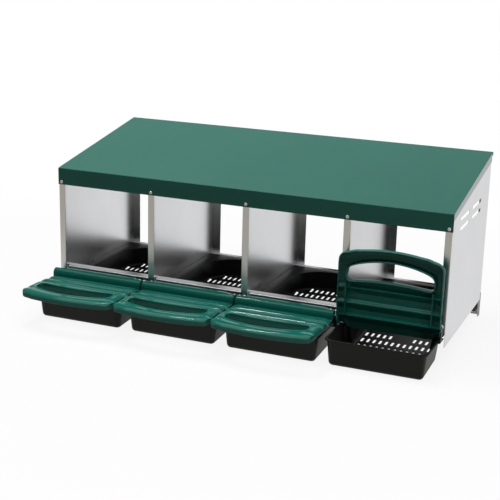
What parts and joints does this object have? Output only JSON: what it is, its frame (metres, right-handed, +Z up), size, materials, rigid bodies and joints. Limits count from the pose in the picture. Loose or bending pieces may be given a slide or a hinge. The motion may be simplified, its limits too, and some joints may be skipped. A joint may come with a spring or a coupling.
{
  "type": "poultry nesting box",
  "caption": "Long sheet-metal nesting box with a sloped roof, open compartments over perforated pans, and forward egg trays under hinged scalloped perch lids.",
  "frame": {"origin": "centre of the bounding box at floor level, in the rest pose", "axes": "+X along the front to the right seen from the front, -Y out of the front, +Z up"},
  "size_m": [1.2, 0.724, 0.506],
  "materials": {
    "green_paint": "smooth semi-gloss stoved enamel on sheet steel",
    "galvanised_steel": "bright galvanised sheet, faint spangle",
    "black_plastic": "satin moulded polypropylene",
    "green_plastic": "semi-gloss moulded polypropylene",
    "screw_steel": "bright zinc plate"
  },
  "bodies": {
    "box": {"roof_panel": "green_paint", "left_end_panel": "galvanised_steel", "right_end_panel": "galvanised_steel", "divider_1": "galvanised_steel", "divider_2": "galvanised_steel", "divider_3": "galvanised_steel", "front_sill_1": "galvanised_steel", "front_sill_2": "galvanised_steel", "front_sill_3": "galvanised_steel", "front_sill_4": "galvanised_steel", "rear_rail": "galvanised_steel", "rear_foot_left": "galvanised_steel", "rear_foot_right": "galvanised_steel", "nest_pan_1": "black_plastic", "nest_pan_2": "black_plastic", "nest_pan_3": "black_plastic", "nest_pan_4": "black_plastic", "fascia_screws": "screw_steel", "post_screws": "screw_steel"},
    "lid_1": {"perch_lid_1": "green_plastic"},
    "lid_2": {"perch_lid_2": "green_plastic"},
    "lid_3": {"perch_lid_3": "green_plastic"},
    "lid_4": {"perch_lid_4": "green_plastic"}
  },
  "joints": [
    {"name": "lid_1_hinge", "type": "hinge", "parent": "box", "child": "lid_1", "pos_m": [-0.4509, -0.147, 0.095], "axis": [-1, 0, 0], "range_deg": [0, 90]},
    {"name": "lid_2_hinge", "type": "hinge", "parent": "box", "child": "lid_2", "pos_m": [-0.15165, -0.147, 0.095], "axis": [-1, 0, 0], "range_deg": [0, 90]},
    {"name": "lid_3_hinge", "type": "hinge", "parent": "box", "child": "lid_3", "pos_m": [0.1476, -0.147, 0.095], "axis": [-1, 0, 0], "range_deg": [0, 90]},
    {"name": "lid_4_hinge", "type": "hinge", "parent": "box", "child": "lid_4", "pos_m": [0.44685, -0.147, 0.095], "axis": [-1, 0, 0], "range_deg": [-90, 0]}
  ]
}
